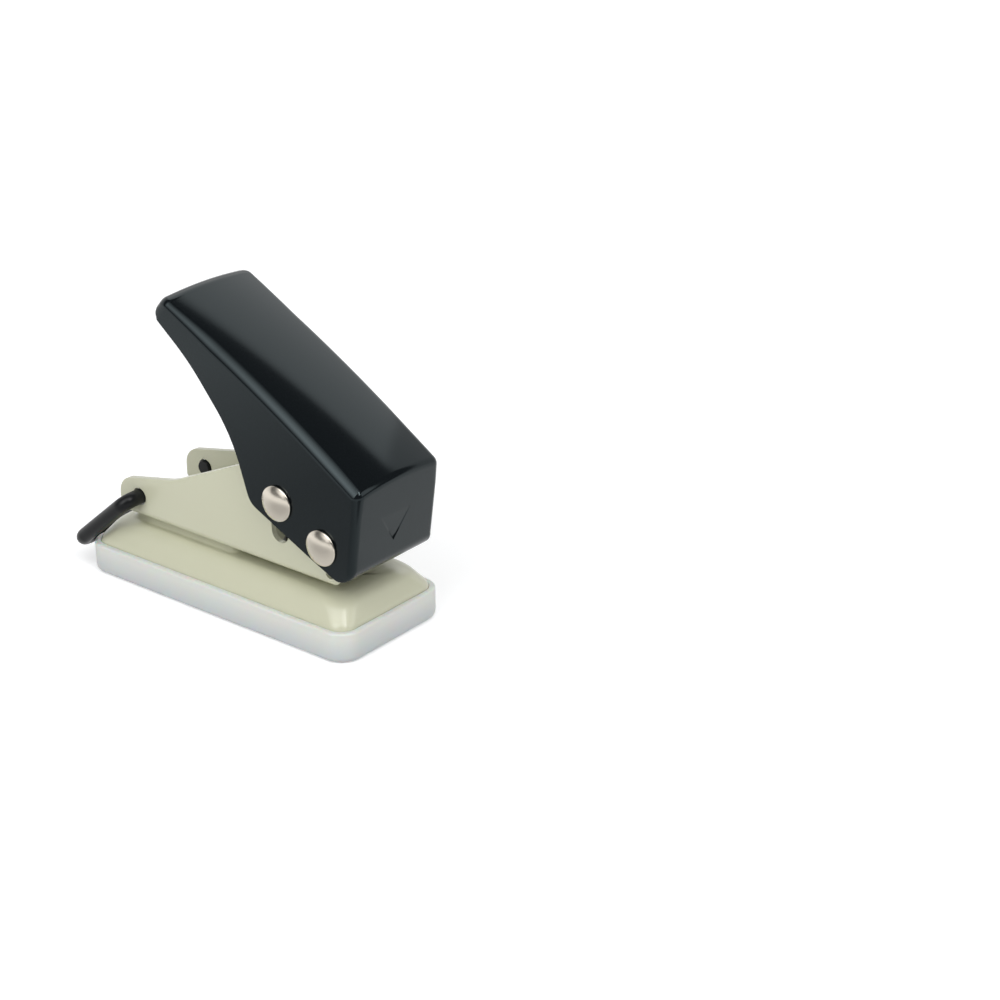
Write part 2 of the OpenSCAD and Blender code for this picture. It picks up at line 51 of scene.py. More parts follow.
# Sizes in millimetres, the same as the solids
TRAY_L, TRAY_W, TRAY_H, TRAY_R = 90.0, 38.0, 8.2, 6.0
TRAY_WALL, TRAY_FLOOR, LEDGE_H, LEDGE_W = 1.6, 1.4, 4.0, 1.5
BASE_L, BASE_W, BASE_R = 86.7, 34.7, 4.3
BASE_TOP, BASE_SHEET = 14.4, 1.2
FRAME_Z, FRAME_TOP, FRAME_SHEET, FRAME_BEND = 16.6, 43.6, 1.5, 2.2
CHEEK_OUT = 12.6
PIVOT = Vector((35.3, 28.1))
BAIL = Vector((-30.1, 22.5))
DRIVE_OPEN = Vector((21.197, 35.804))
DRIVE_R, DRIVE_FIRST, TURN = 16.07, 151.356, 34.0
CUTTER_X = 20.213
LEVER_HALF, LEVER_WALL, LEVER_REACH = 15.1, 1.6, 71.8
WIRE_R, BAIL_ARM, BAIL_HALF, BAIL_BEND, EAR_BEND, BAIL_DROOP = 2.0, 24.93, 17.5, 4.0, 2.6, 40.3
BAIL_END, BAIL_STRAIGHT = 10.7, 12.0
PIN_R, HEAD_R, HEAD_SEAT, HEAD_RIM, HEAD_DOME = 2.5, 4.6, 15.2, 0.6, 1.1
CHIP_HOLE_R, BUSH_HOLE_R, BAIL_HOLE_R, RELIEF_R = 3.3, 4.53, 2.3, 1.4
PIN_FIT, PIN_PLAY, SLOT_PLAY = 0.03, 0.06, 0.3
SPRING_LOW, SPRING_HIGH, SPRING_FOOT_R, SPRING_TOP_R = 18.1, 30.7, 8.85, 5.25
SPRING_WIRE_R, SPRING_CLEAR = 0.45, 0.51

# Points closer than this are one
WELD = 0.004


# Outlines


def arc_points(mid, r, start, sweep, steps):
    return [
        mid + r * Vector((math.cos(start + sweep * k / steps), math.sin(start + sweep * k / steps)))
        for k in range(steps + 1)
    ]


def corner(a, b, c, r, steps):
    """The corner at b between a and c, rounded to radius r."""
    if r == 0:
        return [b]
    u, w = (a - b).normalized(), (c - b).normalized()
    half = u.angle(w) / 2
    mid = b + (u + w).normalized() * (r / math.sin(half))
    p, q = b + u * (r / math.tan(half)) - mid, b + w * (r / math.tan(half)) - mid
    start = math.atan2(p.y, p.x)
    sweep = (math.atan2(q.y, q.x) - start + math.pi) % (2 * math.pi) - math.pi
    return arc_points(mid, r, start, sweep, steps)


def rounded(points, steps, closed=True):
    """Outline through (x, z, corner radius)."""
    flat = [Vector(p[:2]) for p in points]
    out = []
    for i, p in enumerate(points):
        ends = not closed and i in (0, len(points) - 1)
        before, after = flat[i - 1], flat[(i + 1) % len(flat)]
        out += corner(before, flat[i], after, 0 if ends else p[2], steps)
    return out


def circle(mid, r, n=32):
    return arc_points(Vector(mid), r, 0, 2 * math.pi, n)[:-1]


def round_rect(length, width, r, z, n=9):
    """Ring of points round a rectangle in plan with round corners."""
    ring = []
    for k, (sx, sy) in enumerate(((1, 1), (-1, 1), (-1, -1), (1, -1))):
        mid = Vector((sx * (length / 2 - r), sy * (width / 2 - r)))
        ring += [(p.x, p.y, z) for p in arc_points(mid, r, k * math.pi / 2, math.pi / 2, n)]
    return ring


# Meshes


def link(name, data):
    obj = bpy.data.objects.new(name, data)
    bpy.context.scene.collection.objects.link(obj)
    return obj


@contextmanager
def editing(mesh):
    """Opens a mesh for editing, and writes it back."""
    bm = bmesh.new()
    bm.from_mesh(mesh)
    yield bm
    bm.to_mesh(mesh)
    bm.free()


def cut_across(bm, place, normal):
    """Cuts the faces of a mesh along a plane, and keeps both sides."""
    geom = bm.verts[:] + bm.edges[:] + bm.faces[:]
    bmesh.ops.bisect_plane(bm, geom=geom, plane_co=place, plane_no=normal, dist=1e-7)


def new_object(name, verts, faces):
    """Object from points in millimetres."""
    mesh = bpy.data.meshes.new(name)
    mesh.from_pydata([tuple(c * MM for c in v) for v in verts], [], faces)
    with editing(mesh) as bm:
        bmesh.ops.remove_doubles(bm, verts=bm.verts, dist=WELD * MM)
        bmesh.ops.recalc_face_normals(bm, faces=bm.faces)
    return link(name, mesh)


def modify(obj, kind, **settings):
    m = obj.modifiers.new(kind.lower(), kind)
    for key, value in settings.items():
        setattr(m, key, value)


def bake(obj):
    """Makes the result of an object's modifiers its mesh."""
    bpy.context.view_layer.update()
    result = bpy.data.meshes.new_from_object(obj.evaluated_get(bpy.context.evaluated_depsgraph_get()))
    obj.modifiers.clear()
    obj.data = result


def shade(obj, sharp=40.0):
    """Smooth shading, with edges over the angle kept sharp and large faces kept flat."""
    with editing(obj.data) as bm:
        for f in bm.faces:
            f.smooth = True
        for e in bm.edges:
            e.smooth = len(e.link_faces) == 2 and e.calc_face_angle(0) < math.radians(sharp)
    modify(obj, "WEIGHTED_NORMAL", weight=90, keep_sharp=True)


def soften(obj, width, segments, angle):
    """Small rounding along an object's edges that are sharper than an angle."""
    modify(
        obj, "BEVEL", width=width * MM, segments=segments, limit_method="ANGLE",
        angle_limit=math.radians(angle), use_clamp_overlap=True, miter_outer="MITER_ARC",
    )
    bake(obj)


def skin(rings):
    """Points and faces through rings with as many points each, closed round every ring."""
    n = len(rings[0])
    verts = [p for ring in rings for p in ring]
    faces = []
    for i in range(len(rings) - 1):
        for k in range(n):
            a, b = i * n + k, i * n + (k + 1) % n
            faces.append((a, b, b + n, a + n))
    return verts, faces


def rings_mesh(name, rings):
    """Solid through rings, closed at its two ends."""
    verts, faces = skin(rings)
    n = len(rings[0])
    faces.append(tuple(range(n))[::-1])
    faces.append(tuple(range(len(verts) - n, len(verts))))
    return new_object(name, verts, faces)


def plate(outline, holes):
    """Points and triangles of a flat outline with holes, in its own plane."""
    bm = bmesh.new()
    for loop in [outline] + holes:
        vs = [bm.verts.new((p[0], p[1], 0)) for p in loop]
        for i, v in enumerate(vs):
            bm.edges.new((vs[i - 1], v))
    bmesh.ops.triangle_fill(bm, use_beauty=True, edges=bm.edges[:])
    bmesh.ops.recalc_face_normals(bm, faces=bm.faces)
    bm.verts.index_update()
    points = [v.co.copy() for v in bm.verts]
    tris = [tuple(v.index for v in f.verts) for f in bm.faces]
    bm.free()
    return points, tris


def lathe(name, profile, place, n=64):
    """Solid of revolution of (radius, height) pairs about the local Z axis, then placed."""
    turns = [2 * math.pi * k / n for k in range(n)]
    rings = [[place @ Vector((r * math.cos(a), r * math.sin(a), h)) for a in turns] for r, h in profile]
    return rings_mesh(name, rings)


def tube(name, path, r, sides, round_end):
    """Round bar along a path, with its ends a little rounded."""
    tangents = []
    for i in range(len(path)):
        a, b = path[max(i - 1, 0)], path[min(i + 1, len(path) - 1)]
        tangents.append((b - a).normalized())
    side = tangents[0].orthogonal().normalized()
    rings = []

    def ring(p, t, radius):
        up = t.cross(side).normalized()
        return [
            p + radius * (side * math.cos(2 * math.pi * k / sides) + up * math.sin(2 * math.pi * k / sides))
            for k in range(sides)
        ]

    turns = [s * math.pi / 8 for s in (1, 2, 3)]
    quarter = [(round_end * math.cos(a), r - round_end * (1 - math.sin(a))) for a in turns]
    for i, (p, t) in enumerate(zip(path, tangents)):
        side = (side - t * side.dot(t)).normalized()
        if i == 0:
            rings += [ring(p - t * beyond, t, radius) for beyond, radius in quarter]
        rings.append(ring(p, t, r))
        if i == len(path) - 1:
            rings += [ring(p + t * beyond, t, radius) for beyond, radius in reversed(quarter)]
    return rings_mesh(name, rings)


# Materials

GRAIN_DEPTH = 0.00002


def tree(name):
    mat = bpy.data.materials.new(name)
    mat.use_nodes = True
    nodes, links = mat.node_tree.nodes, mat.node_tree.links
    return mat, nodes, links, nodes["Principled BSDF"]


def ramp(nodes, links, value, span, ends, kind="LINEAR"):
    """Value turned from one span into another, and held at its ends."""
    part = nodes.new("ShaderNodeMapRange")
    part.interpolation_type = kind
    part.inputs["From Min"].default_value, part.inputs["From Max"].default_value = span
    part.inputs["To Min"].default_value, part.inputs["To Max"].default_value = ends
    links.new(value, part.inputs["Value"])
    return part.outputs["Result"]


def join(nodes, links, operation, values):
    """Result of an operation such as MULTIPLY or MAXIMUM on all values."""
    result = values[0]
    for value in values[1:]:
        node = nodes.new("ShaderNodeMath")
        node.operation = operation
        links.new(result, node.inputs[0])
        links.new(value, node.inputs[1])
        result = node.outputs["Value"]
    return result


def noise(nodes, links, coords, scale, detail, stretch=None):
    tex = nodes.new("ShaderNodeTexNoise")
    tex.inputs["Scale"].default_value = scale
    tex.inputs["Detail"].default_value = detail
    if stretch:
        mapping = nodes.new("ShaderNodeMapping")
        mapping.inputs["Scale"].default_value = stretch
        links.new(coords.outputs["Object"], mapping.inputs["Vector"])
        links.new(mapping.outputs["Vector"], tex.inputs["Vector"])
    else:
        links.new(coords.outputs["Object"], tex.inputs["Vector"])
    return tex


def finish_material(
    name, color, rough, spread, tint, bump,
    metallic=0.0, grain=900.0, stretch=None, bump_scale=2500.0, **sockets
):
    """Shader with a fine uneven finish: soft changes of colour and roughness, and a slight grain."""
    mat, nodes, links, bsdf = tree(name)
    coords = nodes.new("ShaderNodeTexCoord")
    bsdf.inputs["Metallic"].default_value = metallic
    for key, value in sockets.items():
        bsdf.inputs[key.replace("_", " ")].default_value = value

    soft = noise(nodes, links, coords, grain, 4.0, stretch)
    uneven = ramp(nodes, links, soft.outputs["Fac"], (0, 1), (max(rough - spread, 0.02), rough + spread))
    links.new(uneven, bsdf.inputs["Roughness"])

    broad = noise(nodes, links, coords, 60.0, 5.0)
    mix = nodes.new("ShaderNodeMix")
    mix.data_type = "RGBA"
    mix.inputs["A"].default_value = tuple(c * (1 - tint) for c in color) + (1,)
    mix.inputs["B"].default_value = tuple(min(c * (1 + tint), 1) for c in color) + (1,)
    links.new(broad.outputs["Fac"], mix.inputs["Factor"])
    links.new(mix.outputs["Result"], bsdf.inputs["Base Color"])

    fine = noise(nodes, links, coords, bump_scale, 2.0, stretch)
    relief = nodes.new("ShaderNodeBump")
    relief.inputs["Strength"].default_value = bump
    relief.inputs["Distance"].default_value = GRAIN_DEPTH
    links.new(fine.outputs["Fac"], relief.inputs["Height"])
    links.new(relief.outputs["Normal"], bsdf.inputs["Normal"])
    return mat


def paint_foot_shade(mat, color, low, high):
    """Paints shade into a material's colour towards its foot: there it turns into another, darker colour."""
    nodes, links = mat.node_tree.nodes, mat.node_tree.links
    base = nodes["Principled BSDF"].inputs["Base Color"]
    before = base.links[0].from_socket
    split = nodes.new("ShaderNodeSeparateXYZ")
    links.new(nodes.new("ShaderNodeTexCoord").outputs["Object"], split.inputs["Vector"])
    mix = nodes.new("ShaderNodeMix")
    mix.data_type = "RGBA"
    mix.inputs["A"].default_value = color + (1,)
    links.new(before, mix.inputs["B"])
    links.new(ramp(nodes, links, split.outputs["Z"], (low, high), (0, 1)), mix.inputs["Factor"])
    links.new(mix.outputs["Result"], base)


BEIGE = finish_material(
    "beige_paint", (0.60, 0.60, 0.445), 0.34, spread=0.04, tint=0.015, bump=0.10, bump_scale=1400.0,
    Coat_Weight=0.7, Coat_Roughness=0.16,
)
BLACK = finish_material(
    "black_enamel", (0.0035, 0.0048, 0.0060), 0.10, spread=0.015, tint=0.1, bump=0.03, bump_scale=1600.0,
    Specular_IOR_Level=0.40, Specular_Tint=(0.78, 0.96, 1.0, 1),
)
WIRE = finish_material(
    "black_wire", (0.006, 0.007, 0.008), 0.34, spread=0.06, tint=0.15, bump=0.12, bump_scale=1800.0,
    Specular_IOR_Level=0.30,
)
NICKEL = finish_material(
    "nickel", (0.80, 0.74, 0.64), 0.2, metallic=1.0, spread=0.05, tint=0.03, bump=0.05, bump_scale=1200.0,
)
TRAY = finish_material(
    "tray_plastic", (0.86, 0.87, 0.82), 0.34, spread=0.03, tint=0.01, bump=0.05, bump_scale=900.0,
    Transmission_Weight=0.2, IOR=1.46, Subsurface_Weight=0.35, Subsurface_Scale=0.002,
)
# Painted shade: the tray's colour darkens towards the floor, where less light reaches its lower sides
paint_foot_shade(TRAY, (0.62, 0.66, 0.68), 0.0, 0.0065)
STEEL = finish_material(
    "plated_steel", (0.56, 0.57, 0.58), 0.32, metallic=1.0, spread=0.08, tint=0.06, bump=0.12,
)
DIE = finish_material(
    "die_steel", (0.36, 0.37, 0.385), 0.28, metallic=1.0, spread=0.08, tint=0.06, grain=400.0,
    stretch=(1.0, 12.0, 12.0), bump=0.15,
)
# Near-black spring wire: partly a blackened finish, partly painted shade, so that the coils seen through the
# slot by the drive pin show as the shade inside the frame
SPRING_BLACK_AND_SHADE = finish_material(
    "spring_steel", (0.07, 0.07, 0.072), 0.34, metallic=1.0, spread=0.06, tint=0.05, bump=0.08,
)
DARK = finish_material(
    "blacked_steel", (0.09, 0.09, 0.093), 0.38, metallic=1.0, spread=0.08, tint=0.06, bump=0.12,
)
BRASS = finish_material(
    "bush_brass", (0.58, 0.42, 0.19), 0.3, metallic=1.0, spread=0.08, tint=0.06, grain=600.0,
    stretch=(1.0, 1.0, 14.0), bump=0.12,
)
WASHER = finish_material(
    "washer_plastic", (0.72, 0.71, 0.67), 0.5, spread=0.05, tint=0.03, bump=0.1,
)


def dress(obj, material, body, slot, *nodes):
    """Paints a piece, and lets it stand for its CAD nodes."""
    obj.data.materials.clear()
    obj.data.materials.append(material)
    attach(obj, body)
    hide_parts(*nodes)


# Chip tray


def tray_ring(inset, z):
    return round_rect(TRAY_L - 2 * inset, TRAY_W - 2 * inset, max(TRAY_R - inset, 0.4), z)


inner = TRAY_WALL + LEDGE_W
tray_profile = rounded(
    [
        (8, 0, 0), (0, 0, 1.8), (0, TRAY_H, 0.6), (TRAY_WALL, TRAY_H, 0.2), (TRAY_WALL, LEDGE_H, 0.3),
        (inner, LEDGE_H, 0.4), (inner, TRAY_FLOOR, 0.9), (8, TRAY_FLOOR, 0),
    ],
    steps=5, closed=False,
)
tray = rings_mesh("tray", [tray_ring(i, z) for i, z in tray_profile])
shade(tray, 30)
dress(tray, TRAY, "tray", "tray_plastic", "chip_tray")


# Base pressing, with the hole that the chips fall through

BASE_UNDER = BASE_TOP - BASE_SHEET
BASE_INSET = 11.0

base_outer = rounded(
    [(0, LEDGE_H, 0), (0, 8.9, 4.0), (3.5, BASE_TOP, 5.0), (BASE_INSET, BASE_TOP, 0)], steps=12, closed=False
)
base_inner = rounded(
    [(BASE_INSET, BASE_UNDER, 0), (4.4, BASE_UNDER, 3.6), (BASE_SHEET, 8.4, 2.5), (BASE_SHEET, LEDGE_H, 0)],
    steps=6, closed=False,
)


def base_rings(profile, radius):
    """Rings of the pressing, whose corners grow rounder towards its top."""
    return [round_rect(BASE_L - 2 * i, BASE_W - 2 * i, radius + 0.7 * min(i, 4), z, 12) for i, z in profile]


def base_mesh():
    outer = base_rings(base_outer, BASE_R)
    under = base_rings(base_inner, BASE_R - BASE_SHEET / 2)
    verts, faces = skin(under + outer)
    hole = circle((CUTTER_X, 0), CHIP_HOLE_R, 40)
    starts = []
    for ring, z in ((under[0], BASE_UNDER), (outer[-1], BASE_TOP)):
        points, tris = plate([(p[0], p[1]) for p in ring], [hole])
        first = len(verts)
        verts += [(p.x, p.y, z) for p in points]
        faces += [tuple(first + i for i in t) for t in tris]
        starts.append(first + len(ring))
    m = len(hole)
    for k in range(m):
        faces.append((starts[0] + k, starts[0] + (k + 1) % m, starts[1] + (k + 1) % m, starts[1] + k))
    return new_object("base", verts, faces)


base = base_mesh()
shade(base, 40)
dress(base, BEIGE, "base", "beige_paint", "base_shell")


# Stop plate

STOP_REAR, STOP_FRONT, STOP_HALF, STOP_R = BAIL.x - 7.0, CUTTER_X - 18.5, 10.6, 3.0
STOP_SLOPE, STOP_STEPS = 2.3, 14


def stop_ring(t):
    """Ring on the plate's soft edge, from its foot at 0 to its top at 1."""
    inset, rise = STOP_SLOPE * t, 3 * t * t - 2 * t**3
    z = BASE_TOP + (FRAME_Z - BASE_TOP) * rise
    ring = round_rect(STOP_FRONT - STOP_REAR - 2 * inset, 2 * (STOP_HALF - inset), STOP_R - inset / 2, z)
    return [(x + (STOP_REAR + STOP_FRONT) / 2, y, z) for x, y, z in ring]


stop = rings_mesh("stop", [stop_ring(k / STOP_STEPS) for k in range(STOP_STEPS + 1)])
shade(stop)
dress(stop, BEIGE, "base", "beige_paint", "stop_plate")


# Frame: a flat pattern with its holes, given thickness and soft edges, then folded up

WEB_HALF = CHEEK_OUT - FRAME_BEND
FOLD, FOLD_STEPS = FRAME_BEND * math.pi / 2, 12


def unfold(z):
    """Distance across the flat pattern of a point at height z on a cheek's outer face."""
    rise = z - FRAME_Z
    if rise >= FRAME_BEND:
        return WEB_HALF + FOLD + rise - FRAME_BEND
    return WEB_HALF + FRAME_BEND * math.acos(max(1 - rise / FRAME_BEND, -1))


def fold(p):
    """Place of a point of the flat pattern, given as (x, across, depth from the outer face)."""
    x, across, depth = p
    s, sign = abs(across), math.copysign(1, across)
    if s <= WEB_HALF:
        return (x, across, FRAME_Z + depth)
    r = FRAME_BEND - depth
    if s <= WEB_HALF + FOLD:
        a = (s - WEB_HALF) / FRAME_BEND
        return (x, sign * (WEB_HALF + r * math.sin(a)), FRAME_Z + FRAME_BEND - r * math.cos(a))
    return (x, sign * (CHEEK_OUT - depth), FRAME_Z + FRAME_BEND + s - WEB_HALF - FOLD)


def slot_outline(mid, r, first, turn, half):
    """Outline of a slot curved about a point."""
    a0, a1 = math.radians(first), math.radians(first + turn)
    outer = arc_points(mid, r + half, a0, a1 - a0, 18)
    inner_side = arc_points(mid, r - half, a1, a0 - a1, 18)
    end = mid + r * Vector((math.cos(a1), math.sin(a1)))
    start = mid + r * Vector((math.cos(a0), math.sin(a0)))
    return (
        outer + arc_points(end, half, a1, math.pi, 12)[1:-1]
        + inner_side + arc_points(start, half, a0 + math.pi, math.pi, 12)[1:-1]
    )


def frame_mesh():
    cheek = rounded(
        [
            (BAIL.x - 7, FRAME_Z, 2.5), (BAIL.x - 7, BAIL.y + 3.6, 5), (BAIL.x + 12.6, BAIL.y + 7.8, 25),
            (PIVOT.x - DRIVE_R - 7.2, FRAME_TOP, 6), (DRIVE_OPEN.x + 2.8, FRAME_TOP, 9),
            (PIVOT.x + 6.9, PIVOT.y + 6.4, 7), (PIVOT.x + 4.5, FRAME_Z, 7.5),
        ],
        steps=14,
    )
    low = min(range(len(cheek)), key=lambda i: (round(cheek[i].y, 3), cheek[i].x))
    cheek = cheek[low:] + cheek[:low]
    if cheek[1].y < FRAME_Z + 0.001:
        cheek = [cheek[0]] + cheek[:0:-1]
    up = [(p.x, unfold(p.y)) for p in cheek]
    outline = up + [(x, -s) for x, s in reversed(up)]
    cuts = [
        circle(BAIL, BAIL_HOLE_R, 40), circle(PIVOT, PIN_R + PIN_FIT),
        circle((PIVOT.x, FRAME_Z + FRAME_BEND + RELIEF_R), RELIEF_R, 24),
        slot_outline(PIVOT, DRIVE_R, DRIVE_FIRST, TURN, PIN_R + SLOT_PLAY),
    ]
    holes = [[(p.x, sign * unfold(p.y)) for p in cut] for cut in cuts for sign in (1, -1)]
    holes.append([(p.x, p.y) for p in circle((CUTTER_X, 0), BUSH_HOLE_R)])
    points, tris = plate(outline, holes)
    flat = new_object("frame", [tuple(p) for p in points], tris)
    modify(flat, "SOLIDIFY", thickness=FRAME_SHEET * MM, offset=1, use_even_offset=True)
    bake(flat)
    soften(flat, 0.32, 3, 60)
    with editing(flat.data) as bm:
        deep = min(v.co.z for v in bm.verts)
        for sign in (1, -1):
            for k in range(FOLD_STEPS + 1):
                cut_across(bm, (0, sign * (WEB_HALF + FOLD * k / FOLD_STEPS) * MM, 0), (0, 1, 0))
        for v in bm.verts:
            x, s, d = v.co.x / MM, v.co.y / MM, (v.co.z - deep) / MM
            v.co = Vector(fold((x, s, d))) * MM
        bmesh.ops.recalc_face_normals(bm, faces=bm.faces)
    return flat


bracket = frame_mesh()
shade(bracket, 32)
dress(bracket, BEIGE, "base", "beige_paint", "frame_bracket")


# Lever: one strip from the tail's lower edge, over the back and down the front, with round sides

LEAN = math.radians(26.5)
CROWN_R, CROWN_X, BACK, CROSS_R, NOSE = 420.0, -5.0, 21.3, 85.0, 9.9
EDGE_R, TIP_R, FRONT_R, CORNER_R, FOOT_R, TOP_R = 2.6, 1.5, 1.9, 2.3, 4.3, 2.4
TAIL_R, TAIL_TOUCH, TAIL_TOP_R, TAIL_LOW_R, TAIL_LOW_Z, TAIL_STEPS = 3.4, -68.9, 3.4, 3.2, 9.15, 12
FOOT_TURN, STRIP_END_R = 76, 0.2
DRIVE_ARM = (-16, -1.5)
FOOT_CORNER, FOOT_BACK = Vector((12.608, -3.1)), Vector((0, -5.4))
FRONT_OUT = Vector((math.cos(LEAN), math.sin(LEAN)))
FRONT_UP = Vector((-math.sin(LEAN), math.cos(LEAN)))
FRONT_MID = FRONT_OUT * NOSE


def back_at(x):
    return BACK - CROWN_R + math.sqrt(CROWN_R**2 - (x - CROWN_X) ** 2)


def back_out(x):
    return Vector((x - CROWN_X, back_at(x) - BACK + CROWN_R)).normalized()


def lever_path():
    """Points along the pressed lever's strip: place, outward direction, edge radius and crown share."""
    path = []

    def between(ends, t):
        return ends[0] + (ends[1] - ends[0]) * t

    def add_arc(mid, r, turn, steps, edge, crown):
        for k in range(steps + 1):
            t = k / steps
            a = math.radians(between(turn, t))
            out = Vector((math.cos(a), math.sin(a)))
            path.append((mid + r * out, out, between(edge, t), between(crown, t)))

    # Round the tail
    tail_out = back_out(TAIL_TOUCH)
    tail_mid = Vector((TAIL_TOUCH, back_at(TAIL_TOUCH))) - TAIL_TOP_R * tail_out
    low_mid = Vector((tail_mid.x - TAIL_TOP_R + TAIL_LOW_R, TAIL_LOW_Z + TAIL_LOW_R))
    add_arc(low_mid, TAIL_LOW_R, (252, 180), 10, (STRIP_END_R, TIP_R), (0.0, 0.4))
    tail_to = math.degrees(math.atan2(tail_out.y, tail_out.x))
    add_arc(tail_mid, TAIL_TOP_R, (180, tail_to), 16, (TIP_R, TIP_R), (0.4, 1.0))

    # Along the back, to the rounding that joins it to the front
    direction = math.atan2(FRONT_OUT.y, FRONT_OUT.x)
    reach = CROWN_R - TOP_R
    crown_mid = Vector((CROWN_X, BACK - CROWN_R))
    along = NOSE - TOP_R - crown_mid.dot(FRONT_OUT)
    top_angle = direction + math.acos(along / reach)
    top_mid = crown_mid + reach * Vector((math.cos(top_angle), math.sin(top_angle)))
    top_touch = top_mid.x + TOP_R * math.cos(top_angle)
    steps = 46
    for k in range(1, steps):
        x = between((TAIL_TOUCH, top_touch), k / steps)
        edge = between((CORNER_R, EDGE_R), min((top_touch - x) / 9, 1))
        edge = min(edge, between((TIP_R, EDGE_R), (x - TAIL_TOUCH) / 16))
        path.append((Vector((x, back_at(x))), back_out(x), edge, 1.0))
    front = math.degrees(direction)
    add_arc(top_mid, TOP_R, (math.degrees(top_angle), front), 10, (CORNER_R, CORNER_R), (1.0, 1.0))

    # Down the front and round its foot
    front_from = top_mid + TOP_R * FRONT_OUT
    foot = corner(front_from, FOOT_CORNER, FOOT_BACK, FOOT_R, 24)
    steps = 14
    for k in range(1, steps):
        t = k / steps
        edge = between((CORNER_R, FRONT_R), min(4 * t, 1))
        path.append((front_from.lerp(foot[0], t), FRONT_OUT, edge, 1.0 - t))
    foot_mid = foot[0] - FOOT_R * FRONT_OUT
    add_arc(foot_mid, FOOT_R, (front, front - FOOT_TURN), 18, (FRONT_R, STRIP_END_R), (0.0, 0.0))
    return path


def round_tail(obj):
    """Draws the sides in towards the tail, so that its corners are round in plan, most at the top."""
    tip = min(v.co.x for v in obj.data.vertices)
    low, rise, least = 9.5, 7, 0.45
    with editing(obj.data) as bm:
        for k in range(1, TAIL_STEPS + 1):
            x = tip + TAIL_R * MM * (1 - math.cos(math.pi / 2 * k / TAIL_STEPS))
            cut_across(bm, (x, 0, 0), (1, 0, 0))
        for v in bm.verts:
            short = max(TAIL_R - (v.co.x - tip) / MM, 0)
            high = min(max((v.co.z / MM - low) / rise, 0), 1)
            share = least + (1 - least) * high * high * (3 - 2 * high)
            v.co.y *= 1 - share * (TAIL_R - math.sqrt(max(TAIL_R**2 - short**2, 0))) / LEVER_HALF


def lever_mesh():
    path = lever_path()
    wide, turns = 16, 8
    across = []
    for k in range(turns, 0, -1):
        across.append((-1, math.pi / 2 * k / turns))
    for k in range(wide + 1):
        across.append((0, -1 + 2 * k / wide))
    for k in range(1, turns + 1):
        across.append((1, math.pi / 2 * k / turns))
    slide = -FRONT_UP
    verts, faces = [], []
    n = len(across)
    for place, out, edge, crown in path:
        flat = LEVER_HALF - edge
        for side, v in across:
            if side == 0:
                y, drop = flat * v, 0.0
            else:
                y, drop = side * (flat + edge * math.sin(v)), edge * (1 - math.cos(v))
            bow = crown * (CROSS_R - math.sqrt(CROSS_R**2 - y * y))
            p = place - out * drop + slide * bow
            verts.append((p.x, y, p.y))
    fronts = [i for i, q in enumerate(path) if (q[1] - FRONT_OUT).length < 1e-6]
    first, last = fronts[1], fronts[-2]
    left, right = turns, turns + wide
    for i in range(len(path) - 1):
        for k in range(n - 1):
            if first <= i < last and left <= k < right:
                continue
            a = i * n + k
            faces.append((a, a + 1, a + 1 + n, a + n))

    # Front face with its arrow, a shallow recess that is deepest at its point
    rim = [first * n + k for k in range(left, right + 1)]
    rim += [i * n + right for i in range(first + 1, last + 1)]
    rim += [last * n + k for k in range(right - 1, left - 1, -1)]
    rim += [i * n + left for i in range(last - 1, first, -1)]

    def on_front(i):
        p = Vector((verts[i][0], verts[i][2])) - FRONT_MID
        return (verts[i][1], p.dot(FRONT_UP))

    def from_front(y, u, depth=0.0):
        p = FRONT_MID + FRONT_UP * u - FRONT_OUT * depth
        return (p.x, y, p.y)

    arrow = [(-6.0, 9.0), (-0.6, 0.9), (0.6, 2.58), (4.9, 8.6)]
    sunk = [(-5.75, 8.85, 0.08), (-0.55, 1.5, 0.4), (0.42, 2.71, 0.2), (4.62, 8.45, 0.1)]
    points, tris = plate([on_front(i) for i in rim], [arrow])
    start = len(verts)
    verts += [from_front(p.x, p.y) for p in points]
    faces += [tuple(start + i for i in t) for t in tris]
    lip = start + len(rim)
    floor = len(verts)
    verts += [from_front(*p) for p in sunk]
    for k in range(4):
        faces.append((lip + k, lip + (k + 1) % 4, floor + (k + 1) % 4, floor + k))
    faces += [(floor, floor + 1, floor + 2), (floor, floor + 2, floor + 3)]

    # Flat sides down to the lower outline
    lower = rounded(
        [
            (*(FOOT_CORNER + 9 * FRONT_UP), 0), (*FOOT_CORNER, FOOT_R), (*FOOT_BACK, 0),
            (-22.3, -8.7, 5), (-36, 2, 40), (-55.8, 7.75, 60),
            (-LEVER_REACH, TAIL_LOW_Z, TAIL_LOW_R), (-LEVER_REACH, 13, 0),
        ],
        steps=16, closed=False,
    )
    for side, column in ((-1, 0), (1, n - 1)):
        edge = [verts[i * n + column] for i in range(len(path))]
        outline = [(p[0], p[2]) for p in edge]
        start_x, end = edge[0][0], edge[-1]
        below = [
            (p.x, p.y) for p in lower
            if start_x + 0.4 < p.x < end[0] - 0.4
            and p.y < back_at(p.x) - 6
            and not (p.x > 5 and p.y > end[2])
        ]
        holes = [circle((0, 0), PIN_R + PIN_PLAY, 28), circle(DRIVE_ARM, PIN_R + PIN_FIT, 28)]
        points, tris = plate(outline + below, holes)
        start = len(verts)
        verts += [(p.x, side * LEVER_HALF, p.y) for p in points]
        faces += [tuple(start + i for i in t) for t in tris]
    obj = new_object("lever", verts, faces)
    round_tail(obj)
    modify(
        obj, "SOLIDIFY", thickness=LEVER_WALL * MM, offset=-1, use_even_offset=True, use_quality_normals=True
    )
    bake(obj)
    soften(obj, 0.3, 2, 50)
    lift = Matrix.Translation(Vector((PIVOT.x, 0, PIVOT.y)) * MM)
    obj.data.transform(lift @ Matrix.Rotation(math.radians(TURN), 4, "Y"))
    return obj


lever = lever_mesh()
shade(lever, 35)
dress(lever, BLACK, "lever", "black_paint", "lever_shell")


# Bail: bent wire, hung in the ears


